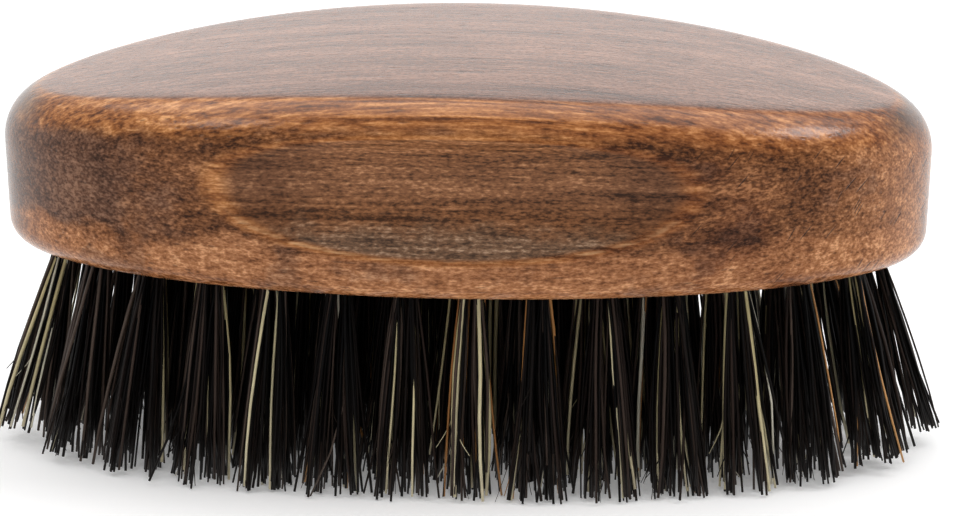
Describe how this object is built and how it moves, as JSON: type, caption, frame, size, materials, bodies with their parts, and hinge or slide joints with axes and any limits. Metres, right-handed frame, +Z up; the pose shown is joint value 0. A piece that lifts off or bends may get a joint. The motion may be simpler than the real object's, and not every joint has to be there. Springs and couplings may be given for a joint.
{
  "type": "beard brush",
  "caption": "Palm-held oval beard brush: a crowned hardwood block with a finger groove along each side and rings of dark boar-bristle tufts set in its underside.",
  "frame": {"origin": "on the plane of the trimmed bristle tips, under the middle of the handle", "axes": "+X along the handle, +Y across it to the back, +Z up from the bristle tips to the crown of the handle"},
  "size_m": [0.1156, 0.0564, 0.0503],
  "materials": {
    "stained_beech": "walnut-stained beech under a thin satin lacquer",
    "boar_bristle": "natural black boar hair with a few brown and blond hairs, soft sheen",
    "anchor_wire": "bright drawn flat wire"
  },
  "bodies": {
    "root": {"centre_row_anchors": "anchor_wire", "centre_row_tufts": "boar_bristle", "handle_block": "stained_beech", "inner_ring_anchors_back_left": "anchor_wire", "inner_ring_anchors_back_right": "anchor_wire", "inner_ring_anchors_front_left": "anchor_wire", "inner_ring_anchors_front_right": "anchor_wire", "inner_ring_tufts_back_left": "boar_bristle", "inner_ring_tufts_back_right": "boar_bristle", "inner_ring_tufts_front_left": "boar_bristle", "inner_ring_tufts_front_right": "boar_bristle", "outer_ring_anchors_back_left": "anchor_wire", "outer_ring_anchors_back_right": "anchor_wire", "outer_ring_anchors_front_left": "anchor_wire", "outer_ring_anchors_front_right": "anchor_wire", "outer_ring_tufts_back_left": "boar_bristle", "outer_ring_tufts_back_right": "boar_bristle", "outer_ring_tufts_front_left": "boar_bristle", "outer_ring_tufts_front_right": "boar_bristle", "second_ring_anchors_back_left": "anchor_wire", "second_ring_anchors_back_right": "anchor_wire", "second_ring_anchors_front_left": "anchor_wire", "second_ring_anchors_front_right": "anchor_wire", "second_ring_tufts_back_left": "boar_bristle", "second_ring_tufts_back_right": "boar_bristle", "second_ring_tufts_front_left": "boar_bristle", "second_ring_tufts_front_right": "boar_bristle"}
  },
  "joints": []
}
